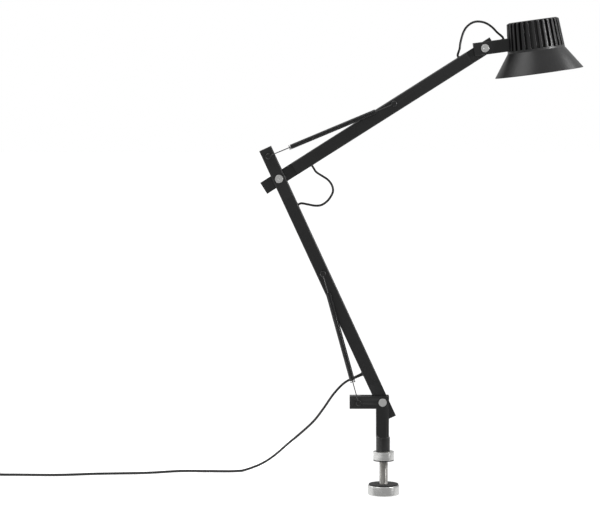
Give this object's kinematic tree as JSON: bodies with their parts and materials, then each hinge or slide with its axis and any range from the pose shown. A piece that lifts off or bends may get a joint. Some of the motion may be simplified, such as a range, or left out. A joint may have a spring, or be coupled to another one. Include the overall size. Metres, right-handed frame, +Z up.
{
  "type": "architect desk lamp",
  "caption": "Sprung two-arm task lamp with a finned drum head and conical shade, on a swivel post that clamps through a desk top with a threaded stud and knob.",
  "frame": {"origin": "on the stud's axis, in the plane of the desk top, under the collar's pad", "axes": "+Z up along the stud, +X the way the head reaches, the springs on the -Y side"},
  "size_m": [0.9455, 0.2174, 0.7408],
  "materials": {
    "powder_coat": "fine matt black powder coat on aluminium",
    "spring_black": "black passivated spring steel",
    "bright_steel": "turned and brushed steel",
    "raw_alloy": "turned aluminium, clear anodised",
    "rubber": "matt black rubber",
    "nylon": "natural nylon",
    "bronze": "plain bronze bush",
    "cable_sheath": "smooth black cable sheath",
    "circuit_board": "white solder mask on an aluminium board",
    "white_reflector": "glossy white moulding",
    "opal_diffuser": "opal plastic",
    "button_black": "moulded black plastic",
    "adapter_black": "textured black plastic"
  },
  "bodies": {
    "mount": {"desk_collar": "raw_alloy", "collar_pad": "rubber", "threaded_stud": "bright_steel", "thrust_washer": "nylon"},
    "clamp_plate": {"pressure_plate": "bright_steel", "clamp_pad": "rubber"},
    "knob": {"clamp_knob": "raw_alloy"},
    "post": {"base_bracket": "powder_coat", "swivel_spindle": "bright_steel", "lever_spring_pin": "powder_coat", "lower_pivot_bolt": "bright_steel", "lower_cap_nut": "bright_steel", "lower_friction_washers": "nylon", "power_cord": "cable_sheath", "cord_coil": "cable_sheath", "power_adapter": "adapter_black", "adapter_pins": "bright_steel"},
    "lower_arm": {"lower_arm_tube": "powder_coat", "lower_arm_tongue": "powder_coat", "lower_arm_head": "powder_coat", "lower_pivot_bush": "bronze", "lower_rivets": "powder_coat", "lower_arm_spring_pins": "powder_coat", "cord_relief": "rubber", "lower_arm_grommet": "rubber", "lower_arm_lead": "cable_sheath", "elbow_pivot_bolt": "bright_steel", "elbow_cap_nut": "bright_steel", "elbow_friction_washers": "nylon", "elbow_cable": "cable_sheath"},
    "lower_spring": {"lower_spring": "spring_black"},
    "lower_hook": {"lower_spring_hook": "bright_steel"},
    "upper_arm": {"upper_arm_tube": "powder_coat", "upper_arm_tongue": "powder_coat", "upper_arm_tip": "powder_coat", "upper_pivot_bushes": "bronze", "upper_rivets": "powder_coat", "upper_arm_spring_pin": "powder_coat", "upper_arm_grommets": "rubber", "upper_arm_lead": "cable_sheath", "head_cable": "cable_sheath"},
    "upper_spring": {"upper_spring": "spring_black"},
    "upper_hook": {"upper_spring_hook": "bright_steel"},
    "head": {"head_fork": "powder_coat", "head_neck": "powder_coat", "head_pivot_bolt": "bright_steel", "head_cap_nut": "bright_steel", "head_friction_washers": "nylon", "neck_grommet": "rubber", "head_lead": "cable_sheath", "head_screws": "bright_steel", "finned_drum": "powder_coat", "led_plate": "raw_alloy", "led_board": "circuit_board", "reflector": "white_reflector", "diffuser": "opal_diffuser", "diffuser_ring": "powder_coat", "shade": "powder_coat", "dimmer_switch": "button_black"},
    "button": {"dimmer_button": "button_black"}
  },
  "joints": [
    {"name": "clamp_travel", "type": "slide", "parent": "mount", "child": "clamp_plate", "axis": [0, 0, 1], "range_m": [0, 0.02]},
    {"name": "knob_turn", "type": "hinge", "parent": "clamp_plate", "child": "knob", "pos_m": [0, 0, -0.045], "axis": [0, 0, 1], "range_deg": [0, 3600]},
    {"name": "base_swivel", "type": "hinge", "parent": "mount", "child": "post", "pos_m": [0, 0, 0.016], "axis": [0, 0, 1], "range_deg": [-180, 180]},
    {"name": "lower_arm_tilt", "type": "hinge", "parent": "post", "child": "lower_arm", "pos_m": [-0.002, 0, 0.092], "axis": [0, 1, 0], "range_deg": [-8, 45], "deforming": ["power_cord"]},
    {"name": "lower_hook_swing", "type": "hinge", "parent": "post", "child": "lower_hook", "pos_m": [-0.0394, -0.0155, 0.092], "axis": [0, 1, 0], "range_deg": [-10, 47]},
    {"name": "lower_spring_swing", "type": "hinge", "parent": "lower_arm", "child": "lower_spring", "pos_m": [-0.0947, -0.0155, 0.29262], "axis": [0, 1, 0], "range_deg": [-2, 2]},
    {"name": "elbow_tilt", "type": "hinge", "parent": "lower_arm", "child": "upper_arm", "pos_m": [-0.16223, 0, 0.43877], "axis": [0, 1, 0], "range_deg": [-10, 40], "deforming": ["elbow_cable"]},
    {"name": "upper_hook_swing", "type": "hinge", "parent": "lower_arm", "child": "upper_hook", "pos_m": [-0.17842, -0.0155, 0.47381], "axis": [0, 1, 0], "range_deg": [-12, 42]},
    {"name": "upper_spring_swing", "type": "hinge", "parent": "upper_arm", "child": "upper_spring", "pos_m": [0.01431, -0.0155, 0.55436], "axis": [0, 1, 0], "range_deg": [-4, 2]},
    {"name": "head_tilt", "type": "hinge", "parent": "upper_arm", "child": "head", "pos_m": [0.15355, 0, 0.63917], "axis": [0, 1, 0], "range_deg": [-80, 55], "deforming": ["head_cable"]},
    {"name": "dimmer_press", "type": "slide", "parent": "head", "child": "button", "axis": [0.1357, 0, -0.9907], "range_m": [0, 0.0015], "stiffness_N_per_m": 400, "springref_m": -0.001}
  ],
  "couplings": [
    {"joint": "knob_turn", "follows": "clamp_travel", "rad_per_m": 3141.6},
    {"joint": "lower_hook_swing", "follows": "lower_arm_tilt", "ratio": 0.995},
    {"joint": "lower_spring_swing", "follows": "lower_arm_tilt", "ratio": -0.01},
    {"joint": "upper_hook_swing", "follows": "elbow_tilt", "ratio": 0.955},
    {"joint": "upper_spring_swing", "follows": "elbow_tilt", "ratio": -0.05}
  ]
}
